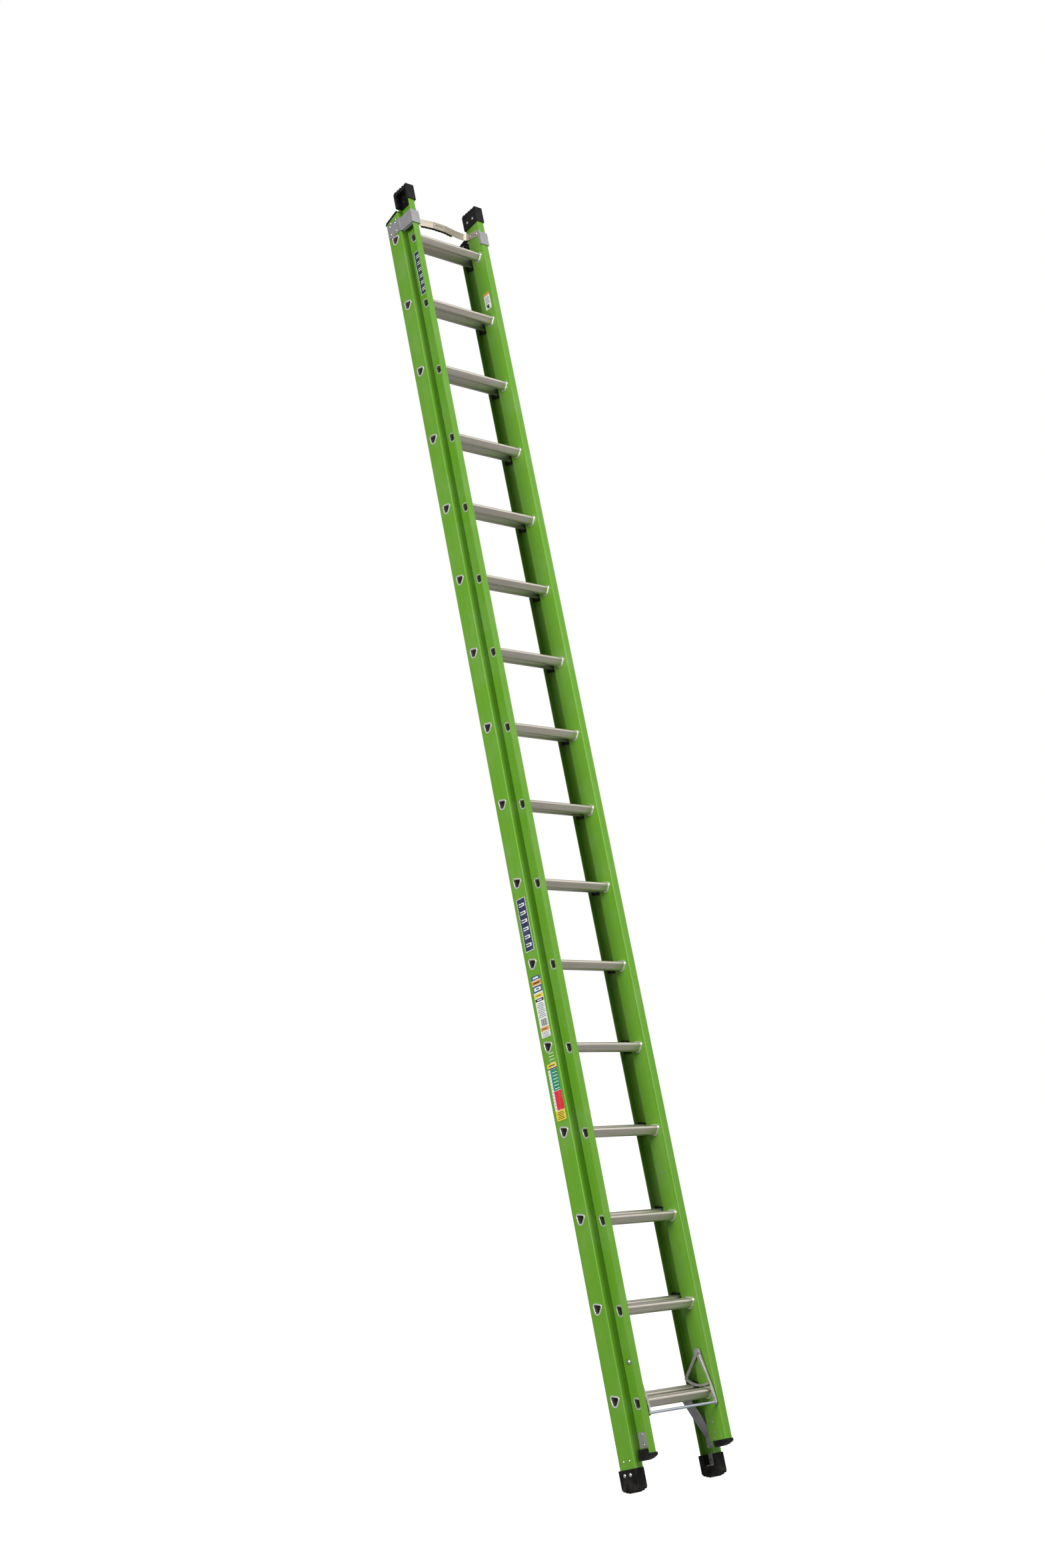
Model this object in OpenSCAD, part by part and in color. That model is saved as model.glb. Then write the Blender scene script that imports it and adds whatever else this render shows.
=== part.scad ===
// Two-section extension ladder, fibreglass rails and aluminium D rungs.
// All lengths are in millimetres. Every piece is drawn in the ladder's own axes, X across,
// Y to the wall, Z up the rails with the lowest base rung at height 0, and is then leaned
// to its working slope, so that +Z is true up and the floor is z = 0.

/* [Stance] */
// Lean of the rails from the vertical, in degrees
lean = 15; // [14:0.5:16]

/* [Rungs] */
// Distance from rung to rung along the rails
pitch = 305; // [303:0.5:307]
// Width of the rung section from front to back
rung_w = 38.5; // [36:0.5:39]
// Height of the rung section
rung_h = 34; // [32:0.5:35]
// Radius of the two top corners of the rung section
rung_r = 7.5; // [7:0.1:8.5]
// Radius of the underside of the rung section
rung_b = 13; // [12:0.1:13.5]
// Wall of the rung tube
rung_t = 2.5; // [2:0.1:3]

/* [Base section] */
// Half of the width over the base webs
base_x = 206; // [205.5:0.1:206.5]
// Front face of the base rails
base_front = -44.4; // [-44.4:0.1:-44]
// Rear face of the base rails
base_rear = 33.5; // [33:0.1:34]
// Length of the rear flange of a base rail
base_flange = 28; // [27:0.1:28.5]
// Length of the front flange of a base rail, which the fly rail hooks behind
base_hook = 34.2; // [33.5:0.1:34.4]
// Wall of the base rails
base_t = 4; // [3.8:0.1:4.2]

/* [Fly section] */
// Half of the gap between the fly webs
fly_x = 166; // [165.8:0.1:166.1]
// Front face of the fly rails
fly_front = -115; // [-115:0.1:-114.6]
// Rear face of the fly rails
fly_rear = -36.6; // [-36.6:0.1:-36.2]
// Width of a fly rail over its front flange
fly_flange = 30.5; // [29.5:0.1:30.6]
// Width of a fly rail over its rear flange, which runs inside the base rail
fly_hook = 24; // [22:0.5:24]
// Wall of the fly rails
fly_t = 3.5; // [3.3:0.1:3.6]

/* [Rung lock] */
// Height of the lock pivot above the lowest base rung
piv_z = 117; // [116:0.5:118]
// Radius of the underside of the lock about its pivot
seat_r = 114; // [113.5:0.1:114.3]
// Thickness of a lock arm
arm_t = 6; // [5:0.5:6]

/* [Hidden] */
$fn = 48;
rungs = 16;
base_bottom = -262;
base_y = -5;                      // rung centre in the base rail
fly_y = -76.5;                     // rung centre in the fly rail
fly_dz = -21;                     // fly rungs stand level with base rungs at the working slope
fly_bottom = -179;
fly_top = 4770;
piv_y = -70;
base_in = base_x - base_t;        // inner face of the base web
base_tip = base_x - base_flange;
hook_tip = base_x - base_hook;
boot_in = hook_tip - 2;           // inner side of a boot
fly_out = fly_x + fly_t;          // outer face of the fly web
fly_tip = fly_x + fly_flange;
tread_c = [-5, -217];             // centre of the curved boot tread, (Y, Z)
tread_r = 70;
lobe_r = 7;
flat_r = tread_r + lobe_r - 0.7;  // the lobe that stands on the floor is worn flat here
foot_y = tread_c[0] + flat_r * sin(lean);
foot_z = tread_c[1] - flat_r * cos(lean);
arm_out = fly_x - 5;              // outer face of a lock arm
arm_in = arm_out - arm_t;
strap_at = [-80, 4650.5];
brace_rivets = [[8, -192.5], [-21, -192.5]];
cap_rivets = [[-27, 4662.5], [6, 4662.5]];
bracket_rivets = [[-25, 4647], [9, 4647], [-25, 4611], [9, 4611]];
boot_holes = [[8, -236], [-20, -236]];
top_rivets = [[-61, 4734.5], [-95, 4734.5]];
plate_rivets = [[-70, -118], [-70, -152]];
plug_rivets = [[-95, -171], [-63, -171]];
strap_rivets = [[-60, 4669], [-98, 4659]];
side_rivets = [[-82, 741], [-82, 630]];

lime = [0.39, 0.62, 0.21];
alu = [0.72, 0.72, 0.70];
grey = [0.55, 0.55, 0.56];
black = [0.07, 0.07, 0.08];

function arc(c, r, a0, a1, n) =
  [for (i = [0:n]) c + r * [cos(a0 + (a1 - a0) * i / n), sin(a0 + (a1 - a0) * i / n)]];

// The leaned working position, with the floor under the two boots at z = 0
module place() rotate([-lean, 0, 0]) translate([0, -foot_y, -foot_z]) children();
module on(side) if (side < 0) mirror([1, 0, 0]) children(); else children();
// A (Y, Z) outline carried along X, and a round bar along X
module along(x0, x1) translate([x0, 0, 0]) rotate([90, 0, 90]) linear_extrude(x1 - x0) children();
module bar(x0, x1, p, r) translate([x0, p[0], p[1]]) rotate([0, 90, 0]) cylinder(h = x1 - x0, r = r);

// D section: flat tread on top, tapered to a rounded underside, level when the ladder leans
function d_pts(a) = let (r = rung_r + a, w = rung_w / 2 - rung_r, h = rung_h / 2 - rung_r,
    low = rung_b - rung_h / 2, t = atan2(h - low, w) - acos((rung_b - rung_r) / norm([w, h - low]))) concat(
  arc([w, h], r, t, 90, 8), arc([-w, h], r, 90, 180 - t, 8),
  arc([0, low], rung_b + a, 180 - t, 360 + t, 12));
module d_at(p, a) translate(p) rotate(lean) polygon(d_pts(a));

// Rail sections, right-hand side; c is a clearance all round
function base_pts(c) = concat(
  [[hook_tip - c, base_front - c]],
  arc([base_x - 3, base_front + 3], 3 + c, -90, 0, 4),
  arc([base_x - 3, base_rear - 3], 3 + c, 0, 90, 4),
  [[base_tip - c, base_rear + c], [base_tip - c, base_rear - base_t - c]],
  arc([base_in - 2, base_rear - base_t - 2], 2 - c, 90, 0, 3),
  arc([base_in - 2, base_front + base_t + 2], 2 - c, 0, -90, 3),
  [[hook_tip - c, base_front + base_t + c]]);
function fly_pts(c) = concat(
  [[fly_tip + c, fly_front - c]],
  arc([fly_x + 3, fly_front + 3], 3 + c, -90, -180, 4),
  arc([fly_x + 3, fly_rear - 3], 3 + c, 180, 90, 4),
  [[fly_x + fly_hook + c, fly_rear + c], [fly_x + fly_hook + c, fly_rear - fly_t - c]],
  arc([fly_out + 2, fly_rear - fly_t - 2], 2 - c, 90, 180, 3),
  arc([fly_out + 2, fly_front + fly_t + 2], 2 - c, 180, 270, 3),
  [[fly_tip + c, fly_front + fly_t + c]]);
function top_z(y) = 4686 - 0.24 * (y + 42);   // sloping top end of the base rails

module rivet(x0, x1, p, r, s, r_in) {
  bar(x0, x1, p, s);
  bar(x1, x1 + 1.2, p, r);
  translate([x1 + 1.2, p[0], p[1]]) rotate([0, 90, 0]) cylinder(h = 1, r1 = r, r2 = r * 0.6);
  bar(x0 - 1.2, x0, p, r_in);
}

// --- Base section ---

module base_rail(side) color(lime) place() on(side) difference() {
  intersection() {
    translate([0, 0, base_bottom]) linear_extrude(4990) polygon(base_pts(0));
    along(hook_tip - 5, base_x + 5) polygon([[-60, base_bottom - 5], [60, base_bottom - 5],
      [60, top_z(60)], [-60, top_z(-60)]]);
  }
  for (k = [0:rungs - 1]) along(base_in - 5, base_x + 5) d_at([base_y, k * pitch], 0.1);
  for (p = boot_holes) bar(base_in - 5, base_x + 5, p, 3.1);
  for (p = concat(brace_rivets, cap_rivets, bracket_rivets)) bar(base_in - 5, base_x + 5, p, 2.5);
}

// A rung is one extruded tube, with a bead swaged inside the web and a flared rim outside
module rung(p, x_web, t) {
  difference() {
    union() {
      along(-x_web - t - 1.5, x_web + t + 1.5) difference() {
        d_at(p, 0);
        translate(p) rotate(lean) for (g = [-9:4.5:9])
          translate([g - 0.7, rung_h / 2 - 0.7]) square([1.4, 2]);
      }
      for (s = [-1, 1]) on(s) {
        along(x_web + t, x_web + t + 1.5) d_at(p, 3);
        along(x_web - 4, x_web) d_at(p, 3.5);
      }
    }
    along(-x_web - 20, x_web + 20) d_at(p, -rung_t);
  }
}
module base_rung(k) color(alu) place() rung([base_y, (k - 1) * pitch], base_in, base_t);

// Rubber boot: wraps the rail end on three sides, curved ribbed tread below
module base_boot(side) color(black) place() on(side) difference() {
  intersection() {
    along(boot_in, base_x + 5) difference() {
      union() {
        translate(tread_c) circle(tread_r + 1, $fn = 96);
        for (j = [-5:2]) translate(tread_c) rotate(lean + 10.5 * j)
          translate([0, -tread_r]) circle(lobe_r, $fn = 32);
      }
      translate(tread_c) rotate(lean) translate([-100, -flat_r - 50]) square([200, 50]);
    }
    translate([0, 0, -310]) linear_extrude(92) polygon(concat(
      arc([boot_in + 3, base_front - 0.1], 3, 180, 270, 3),
      arc([base_x + 1, base_front + 0.9], 4, 270, 360, 4),
      arc([base_x + 1, base_rear + 1], 4, 0, 90, 4),
      arc([boot_in + 3, base_rear + 2], 3, 90, 180, 3)));
  }
  translate([0, 0, base_bottom - 0.1]) linear_extrude(60) polygon(base_pts(0.1));
  translate([boot_in - 5, -31, -256]) cube([base_in - boot_in + 5, 52, 60]);
  for (p = boot_holes) bar(base_x - 1, base_x + 10, p, 3.1);
}

module foot_plate(side) on(side) difference() {
  union() {
    translate([base_in - 3, -28, -256]) cube([3, 46, 40]);
    translate([base_in - 21, -28, -256]) cube([20, 46, 3]);
  }
  for (p = boot_holes) bar(base_in - 5, base_in + 2, p, 3.1);
}
module foot_plates() color(grey) place() {
  foot_plate(-1);
  foot_plate(1);
}

// Flat bar from the inside of the web up to the underside of the lowest rung
module base_brace(side) color(grey) place() on(side) difference() {
  translate([0, 14, 0]) rotate([90, 0, 0]) linear_extrude(41) polygon([
    [base_in, -199], [base_in, -162], [116.6, -16.8], [90, -16.8], [90, -19.8],
    [114.9, -19.8], [base_in - 3, -162.8], [base_in - 3, -199]]);
  for (p = brace_rivets) bar(base_in - 5, base_in + 2, p, 2.5);
}

// Plastic plate that steadies each base rung, across the channel and level with the tread
module base_rung_plates() color(black) place() for (k = [0:rungs - 1]) for (s = [-1, 1])
  on(s) along(base_in - 9, base_in - 4.1) difference() {
    intersection() {
      translate([base_y, k * pitch]) rotate(lean) translate([-60, -24]) square([120, 46.5]);
      translate([base_front + base_t + 0.1, k * pitch - 60])
        square([base_rear - base_front - 2 * base_t - 0.2, 120]);
    }
    d_at([base_y, k * pitch], 0.2);
  }

// Bent bracket: riveted to the base web, steps in past the fly flanges and wraps the front one
module guide_bracket(side) color(grey) place() on(side) difference() {
  translate([0, 0, 4598]) linear_extrude(59) polygon([
    [base_x, 27], [base_x, -46], [198.5, -46], [198.5, -116.5], [163, -116.5], [163, -108],
    [160, -108], [160, -120], [202, -120], [202, -50], [base_x + 4, -50], [base_x + 4, 27]]);
  for (p = bracket_rivets) bar(base_x - 5, base_x + 10, p, 2.5);
}
module guide_liners() color([0.3, 0.32, 0.33]) place() for (s = [-1, 1])
  on(s) translate([197, -112, 4589]) cube([1.4, 58, 60]);

// Black cap on the sloping top end of a base rail, with a skirt inside the channel and a
// notch for the rear flange of the fly rail
module base_end_cap(side) color(black) place() on(side) difference() {
  union() {
    along(base_tip - 1.5, base_x + 1.5) polygon([
      [-42.5, top_z(-42.5)], [35.5, top_z(35.5)], [35.5, top_z(35.5) + 7], [31, top_z(31) + 11],
      [-38, top_z(-38) + 11], [-42.5, top_z(-42.5) + 7]]);
    along(base_tip - 1.5, base_in - 2.2) polygon([
      [base_front + base_t + 0.1, 4636], [base_rear - base_t - 0.1, 4652],
      [base_rear - base_t - 0.1, 4672], [base_front + base_t + 0.1, 4688]]);
  }
  translate([0, -60, 4600]) cube([fly_x + fly_hook + 0.8, 60 + fly_rear + 0.8, 150]);
  for (p = cap_rivets) bar(base_tip - 5, base_x + 2, p, 2.5);
}

module base_rivets() color(alu) place() for (s = [-1, 1]) on(s) {
  for (p = brace_rivets) rivet(base_in - 3, base_x, p, 4, 2.45, 3.4);
  for (p = cap_rivets) rivet(base_tip - 1.5, base_x, p, 3.6, 2.45, 3.4);
  for (p = bracket_rivets) rivet(base_in, base_x + 4, p, 3.8, 2.45, 3.4);
}
module boot_bolts() color(alu) place() for (s = [-1, 1]) on(s) for (p = boot_holes) {
  bar(base_in - 3, base_x + 5, p, 3);
  bar(base_in - 4.5, base_in - 3, p, 3.8);
  bar(base_x + 5, base_x + 7, p, 6.5);
  translate([base_x + 7, p[0], p[1]]) rotate([0, 90, 0]) cylinder(h = 2, r1 = 6.5, r2 = 4);
}

// --- Fly section ---

module fly_rail(side) color(lime) place() on(side) difference() {
  translate([0, 0, fly_bottom]) linear_extrude(fly_top - fly_bottom) polygon(fly_pts(0));
  for (k = [0:rungs - 1]) along(fly_x - 5, fly_out + 5) d_at([fly_y, k * pitch + fly_dz], 0.1);
  bar(fly_x - 5, fly_out + 5, [piv_y, piv_z], 5.1);
  for (p = concat(top_rivets, plate_rivets, plug_rivets, strap_rivets, side > 0 ? side_rivets : []))
    bar(fly_x - 5, fly_out + 5, p, 2.5);
}
module fly_rung(k) color(alu) place() rung([fly_y, (k - 1) * pitch + fly_dz], fly_x, fly_t);

// Black top cap over the end of a fly rail, hollow on the outer side, toothed on top
module fly_cap(side) color(black) place() on(side) difference() {
  along(fly_x - 5.5, fly_tip + 4) intersection() {
    union() {
      polygon([[-119.5, 4711], [-119.5, 4780.5], [-111.4, 4780.5], [-111.4, 4774], [-30, 4774],
        [-30, 4706], [-44, 4706]]);
      for (i = [0:4]) translate([-111.4 + 16.2 * i, 4770.5]) circle(10);
    }
    polygon([[-119.5, 4700], [-119.5, 4790], [-34.4, 4790], [-34.4, 4711], [-38.4, 4700]]);
  }
  translate([0, 0, 4700]) linear_extrude(fly_top - 4700 + 0.1) polygon(fly_pts(0.1));
  translate([fly_out + 3.5, -108, 4700]) cube([40, 58, 62]);
  for (p = top_rivets) bar(fly_x - 10, fly_out + 10, p, 2.5);
}

module fly_guide_plates() color(grey) place() for (s = [-1, 1]) on(s) difference() {
  translate([fly_out, -110, -162]) cube([2.5, 62, 51]);
  for (p = plate_rivets) bar(fly_out - 2, fly_out + 5, p, 2.5);
}

// Black plug in the lower end of a fly rail; its underside sweeps up to the front
module fly_end_plug(side) on(side) difference() {
  union() {
    along(fly_out + 0.1, fly_tip - 2.5) polygon([[-57, -196], [-57, -164], [-111.4, -164], [-111.4, -190]]);
    along(fly_x - 0.5, fly_tip) polygon(concat([[-57, -179.1], [-57, -199]],
      arc([-72, -101], 100, -80, -119, 8), [[-120, -184], [-119, -179.1]]));
  }
  for (p = plug_rivets) bar(fly_x - 2, fly_out + 12.1, p, 2.5);
}
module fly_end_plugs() color(black) place() {
  fly_end_plug(-1);
  fly_end_plug(1);
}

// Flat bar bent in plan: tabs on the fly webs, shoulders behind, dipped forward for a pole
strap_rear = [[fly_x, -28], [fly_x, 36], [160, 47], [148, 52], [128, 52], [90, 46.4], [30, 34]];
strap_front = [[fly_x - 3, -28], [fly_x - 3, 35], [158, 44.4], [147.3, 49], [128.2, 49], [90.5, 43.4], [30, 31]];
function flip(v) = [for (i = [len(v) - 1:-1:0]) [-v[i][0], v[i][1]]];
module strap_place() translate([0, strap_at[0], strap_at[1]]) rotate([lean, 0, 0]) children();
module pole_strap() color([0.75, 0.73, 0.66]) place() difference() {
  strap_place() linear_extrude(28) polygon(concat(strap_rear, flip(strap_rear),
    [for (p = strap_front) [-p[0], p[1]]], flip([for (p = strap_front) [-p[0], p[1]]])));
  for (s = [-1, 1]) on(s) for (p = strap_rivets) bar(fly_x - 5, fly_x + 2, p, 2.5);
  for (x = [-24, 24]) strap_place() translate([x, 25, 16]) rotate([-90, 0, 0]) cylinder(h = 20, r = 1.6);
}
// Ribbed rubber pad on the back of the strap
module pole_strap_rubber() color(black) place() strap_place() difference() {
  translate([0, 0, -4]) linear_extrude(30) polygon(concat(
    [[-82, 44.8], [-30, 34.05], [30, 34.05], [82, 44.8]],
    [for (i = [0:20]) let (x = 80 - 8 * i) [x, 38 + (abs(x) > 30 ? (abs(x) - 30) * 0.207 : 0) + 3 * (i % 2)]]));
  for (x = [-24, 24]) translate([x, 25, 16]) rotate([-90, 0, 0]) cylinder(h = 30, r = 1.6);
}

module fly_rivets() color(alu) place() {
  for (s = [-1, 1]) on(s) {
    for (p = top_rivets) mirror([1, 0, 0]) rivet(-fly_out - 3.5, -fly_x + 5.5, p, 5.5, 2.45, 4);
    for (p = plate_rivets) rivet(fly_x, fly_out + 2.5, p, 3.6, 2.45, 3.2);
    for (p = plug_rivets) {
      bar(fly_x, fly_out + 12, p, 2.45);
      bar(fly_x - 1.2, fly_x, p, 3.2);
    }
    for (p = strap_rivets) mirror([1, 0, 0]) rivet(-fly_out, -fly_x + 3, p, 4, 2.45, 3.2);
  }
  for (p = side_rivets) rivet(fly_x, fly_out, p, 3, 2.45, 3);
  for (x = [-24, 24]) strap_place() translate([x, 0, 16]) rotate([-90, 0, 0]) {
    translate([0, 0, 29.6]) cylinder(h = 1.4, r = 3);
    translate([0, 0, 31]) cylinder(h = 6, r = 1.5);
  }
}

// Bolt on which a lock arm swings: domed head outside, shoulder inside the web, retaining head
module lock_pivot_bolts() color(alu) place() for (s = [-1, 1]) on(s) {
  bar(arm_in - 0.4, fly_out, [piv_y, piv_z], 5);
  bar(arm_out + 0.3, fly_x, [piv_y, piv_z], 8);
  bar(arm_in - 3.4, arm_in - 0.4, [piv_y, piv_z], 8);
  bar(fly_out, fly_out + 2, [piv_y, piv_z], 10);
  translate([fly_out + 2, piv_y, piv_z]) rotate([0, 90, 0]) cylinder(h = 4, r1 = 9, r2 = 4.5);
}

// --- Rung lock ---

// Cast arm: A-shaped, its underside a circle about the pivot so that it swings over the base rung
module lock_arm(side) color([0.62, 0.6, 0.58]) place() on(side) difference() {
  union() {
    along(arm_in, arm_out) {
      translate([piv_y, piv_z]) {
        circle(13.5);
        intersection() {
          circle(seat_r, $fn = 120);
          rotate(45) translate([-5.5, -120]) square([11, 120]);
        }
        difference() {
          circle(seat_r, $fn = 120);
          circle(seat_r - 8, $fn = 120);
          polygon([[0, 0], [200 * sin(46), -200 * cos(46)], [300, 300], [-300, 300], [-200 * sin(13), -200 * cos(13)]]);
        }
      }
      polygon([[-81.5, 120], [-99, 41], [-111, -12], [-114.5, -40], [-116, -56], [-102.4, -56],
        [-102.4, -2], [-90, 41], [-62, 112]]);
      translate([-107, -56]) circle(9);
    }
    // raised rims that stiffen the casting on its inner face
    along(arm_in - 3, arm_in) {
      polygon([[-80, 108], [-99, 41], [-111, -12], [-114.5, -40], [-110, -40], [-107, -12], [-95, 41], [-76, 106]]);
      translate([piv_y, piv_z]) intersection() {
        difference() {
          circle(seat_r, $fn = 120);
          circle(seat_r - 4, $fn = 120);
        }
        polygon([[0, 0], [200 * sin(45), -200 * cos(45)], [0, -300], [-200 * sin(10), -200 * cos(10)]]);
      }
    }
  }
  bar(arm_in - 5, arm_out + 5, [piv_y, piv_z], 5.05);
  bar(arm_in - 5, arm_out + 5, [-107, -56], 5);
}
module lock_tie_rod() color(alu) place() {
  bar(-arm_out, arm_out, [-107, -56], 4.98);
  for (s = [-1, 1]) on(s) bar(arm_out, arm_out + 2.5, [-107, -56], 6.5);
}

base_rail(-1);  // base_rail_left
base_rail(1);  // base_rail_right
base_rung(1);  // base_rung_01
base_rung(2);  // base_rung_02
base_rung(3);  // base_rung_03
base_rung(4);  // base_rung_04
base_rung(5);  // base_rung_05
base_rung(6);  // base_rung_06
base_rung(7);  // base_rung_07
base_rung(8);  // base_rung_08
base_rung(9);  // base_rung_09
base_rung(10);  // base_rung_10
base_rung(11);  // base_rung_11
base_rung(12);  // base_rung_12
base_rung(13);  // base_rung_13
base_rung(14);  // base_rung_14
base_rung(15);  // base_rung_15
base_rung(16);  // base_rung_16
base_boot(-1);  // base_boot_left
base_boot(1);  // base_boot_right
foot_plates();
base_brace(-1);  // base_brace_left
base_brace(1);  // base_brace_right
base_rung_plates();
guide_bracket(-1);  // guide_bracket_left
guide_bracket(1);  // guide_bracket_right
guide_liners();
base_end_cap(-1);  // base_end_cap_left
base_end_cap(1);  // base_end_cap_right
base_rivets();
boot_bolts();
fly_rail(-1);  // fly_rail_left
fly_rail(1);  // fly_rail_right
fly_rung(1);  // fly_rung_01
fly_rung(2);  // fly_rung_02
fly_rung(3);  // fly_rung_03
fly_rung(4);  // fly_rung_04
fly_rung(5);  // fly_rung_05
fly_rung(6);  // fly_rung_06
fly_rung(7);  // fly_rung_07
fly_rung(8);  // fly_rung_08
fly_rung(9);  // fly_rung_09
fly_rung(10);  // fly_rung_10
fly_rung(11);  // fly_rung_11
fly_rung(12);  // fly_rung_12
fly_rung(13);  // fly_rung_13
fly_rung(14);  // fly_rung_14
fly_rung(15);  // fly_rung_15
fly_rung(16);  // fly_rung_16
fly_cap(-1);  // fly_cap_left
fly_cap(1);  // fly_cap_right
fly_guide_plates();
fly_end_plugs();
pole_strap();
pole_strap_rubber();
fly_rivets();
lock_pivot_bolts();
lock_arm(-1);  // lock_arm_left
lock_arm(1);  // lock_arm_right
lock_tie_rod();
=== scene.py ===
"""Extension ladder with fibreglass rails: its finishes, labels, light and camera."""
import math

import bmesh
import bpy
from mathutils import Matrix, Vector


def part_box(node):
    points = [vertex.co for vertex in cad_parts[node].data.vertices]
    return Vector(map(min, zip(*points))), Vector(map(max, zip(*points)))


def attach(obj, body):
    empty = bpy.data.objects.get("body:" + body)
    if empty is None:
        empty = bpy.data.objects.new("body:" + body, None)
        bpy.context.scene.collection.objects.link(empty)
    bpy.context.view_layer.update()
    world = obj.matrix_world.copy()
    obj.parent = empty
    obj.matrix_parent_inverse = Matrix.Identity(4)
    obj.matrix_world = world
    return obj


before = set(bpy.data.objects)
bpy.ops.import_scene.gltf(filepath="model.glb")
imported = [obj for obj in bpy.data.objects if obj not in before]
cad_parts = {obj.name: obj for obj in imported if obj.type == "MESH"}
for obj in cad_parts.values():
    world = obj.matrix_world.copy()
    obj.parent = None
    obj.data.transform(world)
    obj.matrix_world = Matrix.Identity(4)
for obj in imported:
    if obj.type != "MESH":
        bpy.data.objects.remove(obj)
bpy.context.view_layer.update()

# --- Base rails ---------------------------------------------------------------------------
# Two channels of pultruded glass fibre in lime green resin, open towards each other.
# The die leaves fine lines along the whole length and the sawn edges show paler glass;
# that paler edge colour is also a painted highlight along the rail corners.

def put(tree, kind, ins=None, **props):
    """Adds a shader node; each input is a plain value or another node's output."""
    node = tree.nodes.new("ShaderNode" + kind)
    for key, value in props.items():
        setattr(node, key, value)
    for key, value in (ins or {}).items():
        if isinstance(value, bpy.types.NodeSocket):
            tree.links.new(value, node.inputs[key])
        else:
            node.inputs[key].default_value = value
    return node


def new_group(name, inputs, outputs):
    """An empty shader group; inputs give a name and a start value each."""
    tree = bpy.data.node_groups.new(name, "ShaderNodeTree")
    for label, start in inputs.items():
        kind = "NodeSocketVector" if isinstance(start, tuple) else "NodeSocketFloat"
        socket = tree.interface.new_socket(name=label, in_out="INPUT", socket_type=kind)
        socket.default_value = start
    for label in outputs:
        tree.interface.new_socket(name=label, in_out="OUTPUT", socket_type="NodeSocketFloat")
    given = tree.nodes.new("NodeGroupInput").outputs
    result = tree.nodes.new("NodeGroupOutput").inputs
    return tree, given, result


def use_group(tree, group, ins):
    """Places a shared effect in a material with that material's own values."""
    node = put(tree, "Group", node_tree=group)
    for key, value in ins.items():
        node.inputs[key].default_value = value
    return node.outputs


def new_finish(name, **sockets):
    """A material and its shader, with the values that are the same all over the surface."""
    finish = bpy.data.materials.new(name)
    finish.use_nodes = True
    shader = finish.node_tree.nodes["Principled BSDF"]
    for key, value in sockets.items():
        shader.inputs[key.replace("_", " ")].default_value = value
    return finish, finish.node_tree, shader


def mix_colour(tree, factor, first, second):
    """Goes from the first colour to the second as factor goes from 0 to 1."""
    node = put(tree, "Mix", data_type="RGBA")
    for number, value in ((0, factor), (6, first), (7, second)):
        socket = node.inputs[number]
        if isinstance(value, bpy.types.NodeSocket):
            tree.links.new(value, socket)
        else:
            socket.default_value = value if isinstance(value, float) else (*value, 1)
    return node.outputs[2]


def spread(tree, value, low, high, start=0.0, end=1.0):
    """Maps a mask from start..end to low..high."""
    return put(tree, "MapRange", {0: value, 1: start, 2: end, 3: low, 4: high}).outputs[0]


def times(tree, first, second):
    """The product of two masks or numbers."""
    return put(tree, "Math", {0: first, 1: second}, operation="MULTIPLY").outputs[0]


def relief(tree, shader, height, depth, strength=0.5):
    """Turns a height mask into a bump of that depth in metres on the shader's normal."""
    bump = put(tree, "Bump", {"Height": height, "Distance": depth, "Strength": strength})
    tree.links.new(bump.outputs[0], shader.inputs["Normal"])


def middle(node):
    """The centre of a CAD node's box."""
    low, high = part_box(node)
    return (low + high) / 2


# The rung centres say how the ladder leans and where everything on a rail lies.
lowest_rung = middle("base_rung_01")
up_rail = (middle("base_rung_16") - lowest_rung).normalized()
to_wall = Vector((0, up_rail.z, -up_rail.y))
lean = math.asin(up_rail.y)

STREAK_SPAN = (0.3, 0.7)      # where most of a streaky noise lies
SPECKLE_SPAN = (0.35, 0.65)   # where most of a finer noise lies

# Lines drawn along a piece by its die: Stretch is how many there are to the metre each way.
die_lines, given, result = new_group("die_lines", {"Stretch": (500.0, 500.0, 4.0), "Seed": 0.0},
                                     ("Fine", "Broad"))
upright = put(die_lines, "VectorRotate", {
    "Vector": put(die_lines, "TexCoord").outputs["Object"], "Angle": lean}, rotation_type="X_AXIS")
stretched = put(die_lines, "VectorMath", {0: upright.outputs[0], 1: given["Stretch"]},
                operation="MULTIPLY")
for output, fineness, detail in (("Fine", 1.0, 5.0), ("Broad", 0.13, 2.0)):
    noise = put(die_lines, "TexNoise", {
        "Vector": stretched.outputs[0], "W": given["Seed"], "Scale": fineness,
        "Detail": detail, "Roughness": 0.6}, noise_dimensions="4D")
    die_lines.links.new(noise.outputs["Fac"], result[output])

# Edges rubbed by handling: 1 on an edge, 0 on the flats, broken up so that it is uneven.
rubbed_edge, given, result = new_group("rubbed_edge", {"Width": 0.0015, "Patches": 60.0},
                                       ("Mask",))
rounded = put(rubbed_edge, "Bevel", {"Radius": given["Width"]}, samples=4)
turned = put(rubbed_edge, "VectorMath", {
    0: rounded.outputs[0], 1: put(rubbed_edge, "NewGeometry").outputs["Normal"]},
    operation="DOT_PRODUCT")
on_edge = spread(rubbed_edge, turned.outputs["Value"], 0.0, 1.0, 0.995, 0.9)
patches = put(rubbed_edge, "TexNoise", {
    "Vector": put(rubbed_edge, "TexCoord").outputs["Object"], "Scale": given["Patches"],
    "Detail": 4.0})
patchy = spread(rubbed_edge, patches.outputs["Fac"], 0.1, 1.0, *SPECKLE_SPAN)
rubbed_edge.links.new(times(rubbed_edge, on_edge, patchy), result["Mask"])

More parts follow.
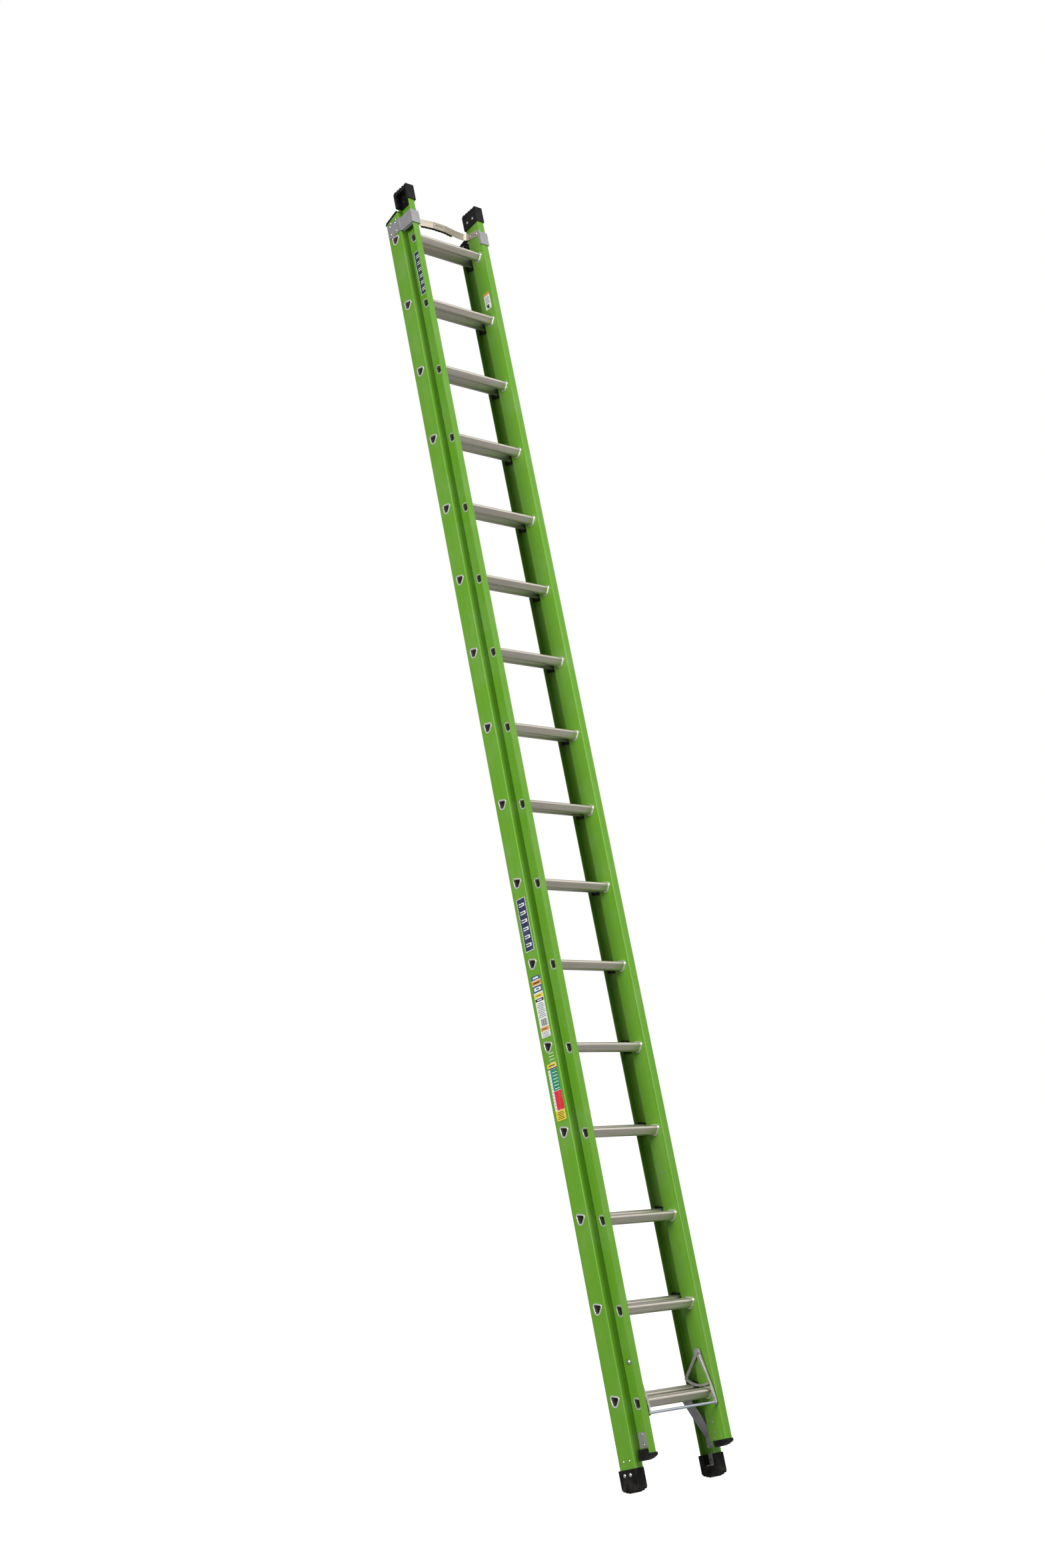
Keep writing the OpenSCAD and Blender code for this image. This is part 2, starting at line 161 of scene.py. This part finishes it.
# Dust, scuffs and finger marks that lie over a piece in soft-edged patches.
site_dust, given, result = new_group("site_dust", {"Patches": 9.0, "Cover": 0.5}, ("Mask", "Grit"))
place = put(site_dust, "TexCoord").outputs["Object"]
clouds = put(site_dust, "TexNoise", {"Vector": place, "Scale": given["Patches"], "Detail": 7.0,
                                     "Roughness": 0.65})
least = put(site_dust, "Math", {0: 1.0, 1: given["Cover"]}, operation="SUBTRACT").outputs[0]
cover = put(site_dust, "MapRange", {0: clouds.outputs["Fac"], 1: least, 2: 1.0, 3: 0.0, 4: 1.0})
site_dust.links.new(cover.outputs[0], result["Mask"])
grit = put(site_dust, "TexNoise", {"Vector": place, "Scale": 1400.0, "Detail": 3.0})
site_dust.links.new(grit.outputs["Fac"], result["Grit"])

DEEP_LIME = (0.098, 0.272, 0.014)
FRESH_LIME = (0.116, 0.302, 0.017)
BARE_GLASS_AND_EDGE_HIGHLIGHT = (0.30, 0.46, 0.12)
DUST = (0.42, 0.40, 0.34)
lime_fibreglass, tree, shader = new_finish("lime_fibreglass", Specular_IOR_Level=0.32)
drawn = use_group(tree, die_lines, {"Stretch": (520.0, 520.0, 3.0), "Seed": 2.0})
rubbed = use_group(tree, rubbed_edge, {"Width": 0.0012, "Patches": 45.0})
dusty = use_group(tree, site_dust, {"Patches": 7.0, "Cover": 0.52})
resin = mix_colour(tree, spread(tree, drawn["Broad"], 0.0, 1.0, *STREAK_SPAN),
                   DEEP_LIME, FRESH_LIME)
# Paler edges: partly bare glass where rubbed, partly a painted highlight along the corners.
resin = mix_colour(tree, times(tree, rubbed["Mask"], 0.45), resin, BARE_GLASS_AND_EDGE_HIGHLIGHT)
resin = mix_colour(tree, times(tree, dusty["Mask"], 0.22), resin, DUST)
tree.links.new(resin, shader.inputs["Base Color"])
gloss = put(tree, "Math", {0: spread(tree, drawn["Fine"], 0.30, 0.44, *STREAK_SPAN),
                           1: times(tree, dusty["Mask"], 0.25)}, operation="ADD").outputs[0]
tree.links.new(gloss, shader.inputs["Roughness"])
relief(tree, shader, drawn["Fine"], 0.00012, 0.35)


def dress(finish, *names):
    """Gives CAD nodes a finish in place of the plain one they came with."""
    for name in names:
        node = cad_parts[name]
        node.data.materials.clear()
        node.data.materials.append(finish)


WELD_GAP = 0.00001            # vertices nearer than this become one
SHARP = math.radians(35)      # edges that turn more than this are rounded


def soften(width, *names, steps=2):
    """Rounds a node's sharp edges as its mould, press or saw leaves them."""
    for name in names:
        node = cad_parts[name]
        weld = node.modifiers.new("weld", "WELD")
        weld.merge_threshold = WELD_GAP
        bevel = node.modifiers.new("rounded_edges", "BEVEL")
        bevel.width = width
        bevel.segments = steps
        bevel.limit_method = "ANGLE"
        bevel.angle_limit = SHARP
        bevel.miter_outer = "MITER_ARC"
        node.modifiers.new("even_light", "WEIGHTED_NORMAL").keep_sharp = True


dress(lime_fibreglass, "base_rail_left", "base_rail_right")

# --- Base rungs ---------------------------------------------------------------------------
# D-section tubes of extruded aluminium with a fluted tread, put through the webs and
# swaged to a collar inside and a flared rim outside. Mill finish, warm and lightly drawn.

MILL_ALUMINIUM = (0.61, 0.565, 0.495)
HANDLED = (0.40, 0.365, 0.315)
PRESSED = (0.80, 0.79, 0.78)


def rung_finish(name, web_x, seed):
    """Mill aluminium whose pressed ends, past the inner face of the web, are brighter."""
    finish, tree, shader = new_finish(name, Metallic=1.0)
    drawn = use_group(tree, die_lines, {"Stretch": (5.0, 700.0, 700.0), "Seed": seed})
    dusty = use_group(tree, site_dust, {"Patches": 16.0, "Cover": 0.56})
    across = put(tree, "SeparateXYZ", {0: put(tree, "TexCoord").outputs["Object"]}).outputs["X"]
    out = put(tree, "Math", {0: across}, operation="ABSOLUTE").outputs[0]
    end = spread(tree, out, 0.0, 1.0, web_x - 0.006, web_x - 0.003)
    skin = mix_colour(tree, spread(tree, drawn["Broad"], 0.0, 0.7, 0.35, 0.7),
                      MILL_ALUMINIUM, HANDLED)
    skin = mix_colour(tree, times(tree, dusty["Mask"], 0.5), skin, HANDLED)
    tree.links.new(mix_colour(tree, end, skin, PRESSED), shader.inputs["Base Color"])
    tree.links.new(spread(tree, drawn["Fine"], 0.32, 0.48, *STREAK_SPAN),
                   shader.inputs["Roughness"])
    relief(tree, shader, drawn["Fine"], 0.00010, 0.2)
    return finish


BASE_WALL = 0.004
RUNGS = range(1, 17)
base_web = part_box("base_rail_right")[1].x
base_rungs = [f"base_rung_{k:02d}" for k in RUNGS]
dress(rung_finish("base_rung_aluminium", base_web - BASE_WALL, 5.0), *base_rungs)
soften(0.0006, *base_rungs)

# --- Rung plates, end caps and plugs: black nylon ------------------------------------------
# Moulded nylon: a plate in the mouth of the channel at each base rung, a cap on each
# sloping rail end. Fine spark-eroded grain; where hands and edges rub it, a lighter colour is
# painted on as sheen.

NYLON = (0.0045, 0.0045, 0.0055)
NYLON_SHEEN_ON_RUBBED_EDGES = (0.016, 0.016, 0.018)
black_nylon, tree, shader = new_finish("black_nylon", Specular_IOR_Level=0.10)
rubbed = use_group(tree, rubbed_edge, {"Width": 0.0012, "Patches": 120.0})
dusty = use_group(tree, site_dust, {"Patches": 22.0, "Cover": 0.55})
# The lighter colour on rubbed edges is painted sheen; the roughness stays the same there.
moulded = mix_colour(tree, rubbed["Mask"], NYLON, NYLON_SHEEN_ON_RUBBED_EDGES)
moulded = mix_colour(tree, times(tree, dusty["Mask"], 0.05), moulded, DUST)
tree.links.new(moulded, shader.inputs["Base Color"])
tree.links.new(spread(tree, dusty["Grit"], 0.42, 0.58, *SPECKLE_SPAN), shader.inputs["Roughness"])
relief(tree, shader, dusty["Grit"], 0.00015, 0.15)
dress(black_nylon, "base_rung_plates", "base_end_cap_left", "base_end_cap_right")
soften(0.0012, "base_end_cap_left", "base_end_cap_right", steps=3)

# --- Braces, foot plates and guide brackets: satin aluminium -------------------------------
# Flat bar, folded in a press and riveted on: braces up to the lowest rung, angles that
# hold the boots, and the brackets that keep the fly against the base. Fine tumbled skin.

TUMBLED = (0.31, 0.305, 0.31)
TUMBLED_DULL = (0.24, 0.235, 0.24)
satin_aluminium, tree, shader = new_finish("satin_aluminium", Metallic=0.55,
                                           Specular_IOR_Level=0.4)
rubbed = use_group(tree, rubbed_edge, {"Width": 0.0010, "Patches": 80.0})
dusty = use_group(tree, site_dust, {"Patches": 30.0, "Cover": 0.6})
skin = mix_colour(tree, spread(tree, dusty["Mask"], 0.0, 1.0, 0.0, 0.6), TUMBLED, TUMBLED_DULL)
skin = mix_colour(tree, times(tree, rubbed["Mask"], 0.6), skin, PRESSED)
tree.links.new(skin, shader.inputs["Base Color"])
tree.links.new(spread(tree, dusty["Grit"], 0.42, 0.60, *SPECKLE_SPAN), shader.inputs["Roughness"])
relief(tree, shader, dusty["Grit"], 0.00010, 0.35)
pressed = ("base_brace_left", "base_brace_right", "foot_plates",
           "guide_bracket_left", "guide_bracket_right")
dress(satin_aluminium, *pressed)
soften(0.0006, *pressed)

# --- Guide liners -------------------------------------------------------------------------
# Strips of slate-grey slippery plastic in the brackets, which the fly flanges run on.
# Burnished lengthwise by the sliding rails.

SLATE = (0.075, 0.085, 0.092)
BURNISHED_SLATE = (0.12, 0.13, 0.14)
slick_plastic, tree, shader = new_finish("slick_plastic", Specular_IOR_Level=0.5)
drawn = use_group(tree, die_lines, {"Stretch": (900.0, 900.0, 12.0), "Seed": 11.0})
tree.links.new(mix_colour(tree, spread(tree, drawn["Broad"], 0.0, 1.0, *STREAK_SPAN),
                          SLATE, BURNISHED_SLATE), shader.inputs["Base Color"])
tree.links.new(spread(tree, drawn["Fine"], 0.25, 0.5, *STREAK_SPAN), shader.inputs["Roughness"])
relief(tree, shader, drawn["Fine"], 0.0001, 0.3)
dress(slick_plastic, "guide_liners")

# --- Boots --------------------------------------------------------------------------------
# Moulded rubber boots bolted round the rail ends, with a lobed tread that rolls on the
# floor as the slope changes. Matt black, greyer and dusty along the tread.

RUBBER = (0.0045, 0.0040, 0.0041)
SCUFFED_RUBBER = (0.018, 0.017, 0.016)
black_rubber, tree, shader = new_finish("black_rubber", Specular_IOR_Level=0.07)
rubbed = use_group(tree, rubbed_edge, {"Width": 0.0020, "Patches": 90.0})
dusty = use_group(tree, site_dust, {"Patches": 26.0, "Cover": 0.58})
height = put(tree, "SeparateXYZ", {0: put(tree, "TexCoord").outputs["Object"]}).outputs["Z"]
low_down = spread(tree, height, 0.30, 0.05, 0.0, 0.05)
worn = mix_colour(tree, times(tree, rubbed["Mask"], 0.8), RUBBER, SCUFFED_RUBBER)
worn = mix_colour(tree, times(tree, dusty["Mask"], low_down), worn, DUST)
tree.links.new(worn, shader.inputs["Base Color"])
tree.links.new(spread(tree, dusty["Grit"], 0.50, 0.74, *SPECKLE_SPAN), shader.inputs["Roughness"])
relief(tree, shader, dusty["Grit"], 0.0002, 0.15)
dress(black_rubber, "base_boot_left", "base_boot_right")
soften(0.0014, "base_boot_left", "base_boot_right", steps=3)

# --- Rivets and bolts ---------------------------------------------------------------------
# Zinc-plated steel: pressed rivets of braces, caps and brackets, domed boot bolts, the
# bolts the lock arms swing on. Bright heads with a faint cloudy plating.

BRIGHT_ZINC = (0.50, 0.51, 0.52)
CLOUDY_ZINC = (0.34, 0.34, 0.35)
zinc_steel, tree, shader = new_finish("zinc_steel", Metallic=1.0)
dusty = use_group(tree, site_dust, {"Patches": 160.0, "Cover": 0.62})
tree.links.new(mix_colour(tree, dusty["Mask"], BRIGHT_ZINC, CLOUDY_ZINC),
               shader.inputs["Base Color"])
tree.links.new(spread(tree, dusty["Grit"], 0.24, 0.40, *SPECKLE_SPAN), shader.inputs["Roughness"])
relief(tree, shader, dusty["Grit"], 0.00005, 0.3)
fasteners = ("base_rivets", "boot_bolts", "fly_rivets", "lock_pivot_bolts")
dress(zinc_steel, *fasteners)
soften(0.0004, *fasteners)

# --- Fly rails and rungs ------------------------------------------------------------------
# The upper section: the same pultrusion turned round, open outwards, and the same rungs,
# swaged through the narrower webs. It slides up in front of the base.

dress(lime_fibreglass, "fly_rail_left", "fly_rail_right")
fly_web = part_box("fly_rail_right")[0].x
fly_rungs = [f"fly_rung_{k:02d}" for k in RUNGS]
dress(rung_finish("fly_rung_aluminium", fly_web, 8.0), *fly_rungs)
soften(0.0006, *fly_rungs)

# --- Fly caps, end plugs and guide plates -------------------------------------------------
# Toothed nylon caps that grip a wall, nylon plugs in the lower ends, and riveted plates
# that steady the fly in the base section.

fly_ends = ("fly_cap_left", "fly_cap_right", "fly_end_plugs")
dress(black_nylon, *fly_ends)
soften(0.0012, *fly_ends, steps=3)
dress(satin_aluminium, "fly_guide_plates")
soften(0.0005, "fly_guide_plates")

# --- Pole strap ---------------------------------------------------------------------------
# A flat aluminium bar bent forward in the middle, so that the top can rest on a pole,
# with a ribbed rubber pad screwed to its back. Drawn lines run along the bar.

STRAP_METAL = (0.38, 0.335, 0.265)
STRAP_DULL = (0.30, 0.265, 0.21)
strap_metal, tree, shader = new_finish("strap_metal", Metallic=0.4, Specular_IOR_Level=0.3)
drawn = use_group(tree, die_lines, {"Stretch": (9.0, 60.0, 900.0), "Seed": 17.0})
dusty = use_group(tree, site_dust, {"Patches": 40.0, "Cover": 0.6})
skin = mix_colour(tree, spread(tree, drawn["Broad"], 0.0, 1.0, *STREAK_SPAN),
                  STRAP_METAL, STRAP_DULL)
skin = mix_colour(tree, times(tree, dusty["Mask"], 0.5), skin, HANDLED)
tree.links.new(skin, shader.inputs["Base Color"])
tree.links.new(spread(tree, drawn["Fine"], 0.42, 0.58, *STREAK_SPAN), shader.inputs["Roughness"])
relief(tree, shader, drawn["Fine"], 0.0001, 0.15)
dress(strap_metal, "pole_strap")
soften(0.0005, "pole_strap")
dress(black_rubber, "pole_strap_rubber")
soften(0.0008, "pole_strap_rubber")

# --- Rung lock ----------------------------------------------------------------------------
# Two cast aluminium arms joined by a steel rod. They hang on their bolts and swing
# forward over the base rungs. As cast, faintly pebbled, filed bright along the rims.

CAST = (0.37, 0.355, 0.335)
CAST_DULL = (0.27, 0.255, 0.24)
cast_aluminium, tree, shader = new_finish("cast_aluminium", Metallic=0.7)
rubbed = use_group(tree, rubbed_edge, {"Width": 0.0010, "Patches": 60.0})
dusty = use_group(tree, site_dust, {"Patches": 45.0, "Cover": 0.62})
pebble = put(tree, "TexNoise", {"Vector": put(tree, "TexCoord").outputs["Object"],
                                "Scale": 420.0, "Detail": 4.0})
skin = mix_colour(tree, dusty["Mask"], CAST, CAST_DULL)
skin = mix_colour(tree, times(tree, rubbed["Mask"], 0.7), skin, PRESSED)
tree.links.new(skin, shader.inputs["Base Color"])
tree.links.new(spread(tree, pebble.outputs["Fac"], 0.38, 0.58, *STREAK_SPAN),
               shader.inputs["Roughness"])
relief(tree, shader, pebble.outputs["Fac"], 0.0004, 0.5)
dress(cast_aluminium, "lock_arm_left", "lock_arm_right")
soften(0.0008, "lock_arm_left", "lock_arm_right", steps=3)

ROD_STEEL = (0.58, 0.63, 0.69)
ROD_DULL = (0.42, 0.46, 0.51)
steel_rod, tree, shader = new_finish("steel_rod", Metallic=1.0)
drawn = use_group(tree, die_lines, {"Stretch": (6.0, 500.0, 500.0), "Seed": 23.0})
tree.links.new(mix_colour(tree, spread(tree, drawn["Broad"], 0.0, 1.0, *STREAK_SPAN),
                          ROD_STEEL, ROD_DULL), shader.inputs["Base Color"])
tree.links.new(spread(tree, drawn["Fine"], 0.20, 0.34, *STREAK_SPAN), shader.inputs["Roughness"])
relief(tree, shader, drawn["Fine"], 0.00005, 0.2)
dress(steel_rod, "lock_tie_rod")
soften(0.0008, "lock_tie_rod")

# --- Labels -------------------------------------------------------------------------------
# Printed vinyl on the webs: a plain name plate on each section, an information label, a
# chart of length against height, and a small notice. Bars and blocks stand for print.

FILM = 0.00022       # thickness of the vinyl
PRINT = 0.00006      # each print layer stands this much prouder
CLEAR = 0.00001      # the back of the vinyl stands this far off the web


def ink(name, colour):
    """Vinyl of one colour, lightly scuffed."""
    finish, tree, shader = new_finish(name, Specular_IOR_Level=0.45)
    dusty = use_group(tree, site_dust, {"Patches": 60.0, "Cover": 0.56})
    tree.links.new(mix_colour(tree, times(tree, dusty["Mask"], 0.3), colour, DUST),
                   shader.inputs["Base Color"])
    tree.links.new(spread(tree, dusty["Grit"], 0.30, 0.44, *SPECKLE_SPAN),
                   shader.inputs["Roughness"])
    return finish


INKS = {
    "white": ink("vinyl_white", (0.70, 0.71, 0.70)),
    "navy": ink("vinyl_navy", (0.012, 0.020, 0.065)),
    "blue": ink("vinyl_blue", (0.045, 0.085, 0.17)),
    "orange": ink("vinyl_orange", (0.62, 0.26, 0.03)),
    "yellow": ink("vinyl_yellow", (0.72, 0.52, 0.02)),
    "black": ink("vinyl_black", (0.012, 0.012, 0.012)),
    "green": ink("vinyl_green", (0.0, 0.20, 0.10)),
    "red": ink("vinyl_red", (0.58, 0.015, 0.03)),
    "grey": ink("vinyl_grey", (0.16, 0.16, 0.17)),
}
INK_ORDER = list(INKS)


def label(name, body, web_x, out, start, blocks):
    """A sheet of vinyl on a web. Distances are in millimetres from start; a block is (ink,
    layer, distance to the wall, distance up the rail, width, height, slant)."""
    mesh = bpy.data.meshes.new(name)
    shape = bmesh.new()
    for colour, layer, across, along, width, height, slant in blocks:
        lift = web_x + out * (FILM + layer * PRINT)
        corners = [(across, along), (across + width, along),
                   (across + width + slant, along + height), (across + slant, along + height)]
        rings = []
        for x in (web_x + out * CLEAR, lift):
            rings.append([shape.verts.new(Vector((x, 0, 0)) + start
                          + to_wall * a / 1000 + up_rail * u / 1000) for a, u in corners])
        low, high = rings
        faces = [high] + [[low[i], low[(i + 1) % 4], high[(i + 1) % 4], high[i]]
                          for i in range(4)]
        for ring in faces:
            shape.faces.new(ring).material_index = INK_ORDER.index(colour)
    bmesh.ops.recalc_face_normals(shape, faces=shape.faces)
    shape.to_mesh(mesh)
    shape.free()
    for colour in INK_ORDER:
        mesh.materials.append(INKS[colour])
    piece = bpy.data.objects.new(name, mesh)
    bpy.context.scene.collection.objects.link(piece)
    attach(piece, body)


def name_plate(across, along):
    """White edge, navy field and six plain bars, each with a slot."""
    width, length, edge, step = 47, 198, 2, 30
    blocks = [("white", 0, across, along, width, length, 0),
              ("navy", 1, across + edge, along + edge, width - 2 * edge, length - 2 * edge, 0)]
    for k in range(6):
        blocks.append(("white", 2, across + 9, along + 17 + step * k, 29, 12, 0))
        blocks.append(("navy", 3, across + 16, along + 20.5 + step * k, 22, 5, 0))
    return blocks


def print_lines(across, along, width, rows, step, colour="grey", layer=1):
    """Rows of thin bars of uneven length, in place of text."""
    return [(colour, layer, across + width * 0.08 * (k % 3), along + step * k,
             width * (1 - 0.16 * (k % 3)), step * 0.42, 0) for k in range(rows)]


def at(rung_name):
    """Where a label's distances start from: the rung's centre, on the middle plane."""
    centre = middle(rung_name)
    return Vector((0, centre.y, centre.z))


left_web = -base_web
on_base = at("base_rung_01")
label("base_name_plate", "base", left_web, -1, on_base, name_plate(-25.5, 1574.5))

info = [("white", 0, -27, 1256.5, 48, 225.5, 0), ("blue", 1, -27, 1466, 48, 16, 0),
        ("white", 2, -17, 1471, 28, 6, 0), ("orange", 1, -27, 1448, 48, 15, 0),
        ("black", 2, -20, 1453, 34, 5, 0), ("blue", 1, -27, 1421, 48, 24.5, 0),
        ("white", 2, -21, 1427, 36, 12, 0), ("blue", 3, -12, 1430.5, 16, 5, 0),
        ("yellow", 1, -25, 1402, 45, 13.5, 0), ("black", 2, -15, 1407, 26, 3, 0),
        ("black", 1, -25, 1387.5, 44, 11, 0), ("white", 2, -15, 1391, 24, 3.5, 0),
        ("orange", 1, -24, 1280, 43, 14, 0), ("black", 2, -16, 1285, 27, 3, 0)]
info += print_lines(-23, 1330, 40, 9, 6.1) + print_lines(-23, 1259, 40, 4, 5)
info += [("black", 1, -21 + 3.4 * k, 1298, 1.4 + 0.7 * (k % 3), 25, 0) for k in range(9)]
label("information_label", "base", left_web, -1, on_base, info)

chart = [("white", 0, -26.5, 958.5, 49, 202, 0), ("yellow", 1, -26.5, 1146, 49, 14.5, 0),
         ("black", 2, -18, 1151, 32, 4, 0), ("black", 1, -26.5, 1140.5, 49, 4.5, 0),
         ("green", 1, -26.5, 1063.5, 38, 76, 0), ("red", 1, -26.5, 994.5, 38, 67.5, 0),
         ("yellow", 1, -26.5, 958.5, 49, 35, 0)]
chart += [("white", 2, -22, 1069 + 11.5 * k, 26, 2.2, 0) for k in range(12) if k != 6]
chart += [("grey", 1, 15, 1001 + 11.5 * k, 4, 3.2, 0) for k in range(12)]
chart += print_lines(-20, 963, 36, 5, 5.6, "black", 2)
label("length_chart", "base", left_web, -1, on_base, chart)

on_fly = at("fly_rung_01")
FLY_WALL = 0.0035
left_fly_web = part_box("fly_rail_left")[1].x - FLY_WALL
label("fly_name_plate", "fly", left_fly_web, -1, on_fly, name_plate(-27, 4315))
notice = [("white", 0, -22, 4329, 35, 75, 0), ("orange", 1, -22, 4392, 35, 12, 0),
          ("black", 1, -11.5, 4333, 14, 17, 4)]
notice += print_lines(-17.5, 4356, 26, 5, 6.4)
label("small_notice", "fly", fly_web, -1, on_fly, notice)

# --- Floor, light and camera --------------------------------------------------------------
# A pale floor, a wide soft light to the left of the ladder, a second one high in front of
# it, and the camera at a walker's eye height, a little over seven metres away.

FLOOR_RADIUS = 45
PALE = (0.32, 0.32, 0.32, 1)
WHITE = (1, 1, 1, 1)
floor_mesh = bpy.data.meshes.new("floor")
ring = bmesh.new()
bmesh.ops.create_circle(ring, cap_ends=True, segments=96, radius=FLOOR_RADIUS)
ring.to_mesh(floor_mesh)
ring.free()
floor = bpy.data.objects.new("floor", floor_mesh)
bpy.context.scene.collection.objects.link(floor)
pale, tree, shader = new_finish("pale_floor", Specular_IOR_Level=0.0, Roughness=0.9,
                                Base_Color=PALE, Emission_Color=WHITE)
ray = put(tree, "LightPath").outputs
lift = put(tree, "Math", {0: ray["Is Camera Ray"],
                          1: times(tree, ray["Is Glossy Ray"], 0.16)}, operation="ADD")
tree.links.new(lift.outputs[0], shader.inputs["Emission Strength"])
floor_mesh.materials.append(pale)

world = bpy.data.worlds.new("studio")
bpy.context.scene.world = world
world.use_nodes = True
tree = world.node_tree
BRIGHT_SKY = (-0.20, -0.72, 0.66)     # high in front, a little to the left
towards = put(tree, "VectorMath", {0: put(tree, "TexCoord").outputs["Generated"],
                                   1: BRIGHT_SKY}, operation="DOT_PRODUCT")
glow = spread(tree, towards.outputs["Value"], 0.36, 1.35, -0.35, 0.9)
ray = put(tree, "LightPath").outputs
shed = times(tree, glow, spread(tree, ray["Is Diffuse Ray"], 1.0, 0.20))
seen = put(tree, "Mix", {0: ray["Is Camera Ray"], 2: shed, 3: 1.0})
tree.links.new(seen.outputs[0], tree.nodes["Background"].inputs["Strength"])
tree.nodes["Background"].inputs["Color"].default_value = WHITE


def soft_light(name, place, aim, size, power):
    """A round area light of that width in metres and power in watts, turned to its aim."""
    lamp = bpy.data.lights.new(name, "AREA")
    lamp.shape = "DISK"
    lamp.size = size
    lamp.energy = power
    holder = bpy.data.objects.new(name, lamp)
    bpy.context.scene.collection.objects.link(holder)
    holder.location = place
    holder.rotation_mode = "QUATERNION"
    holder.rotation_quaternion = (Vector(aim) - Vector(place)).to_track_quat("-Z", "Y")


soft_light("key", place=(-8.0, -1.0, 3.4), aim=(0, 0.6, 2.4), size=2.8, power=590)
soft_light("front", place=(-0.3, -7.4, 7.6), aim=(0, 0.9, 3.0), size=3.2, power=760)

EYE = (-5.137, -5.121, 1.439)
heading, pitch, roll = (math.radians(a) for a in (41.285, 7.430, -0.536))
lens = bpy.data.cameras.new("camera")
lens.sensor_width = 36
lens.lens = 47.67
camera = bpy.data.objects.new("camera", lens)
bpy.context.scene.collection.objects.link(camera)
camera.matrix_world = (Matrix.Translation(EYE)
                       @ Matrix.Rotation(-heading, 4, "Z")
                       @ Matrix.Rotation(math.pi / 2 + pitch, 4, "X")
                       @ Matrix.Rotation(roll, 4, "Z"))
bpy.context.scene.camera = camera
bpy.context.scene.view_settings.view_transform = "Standard"
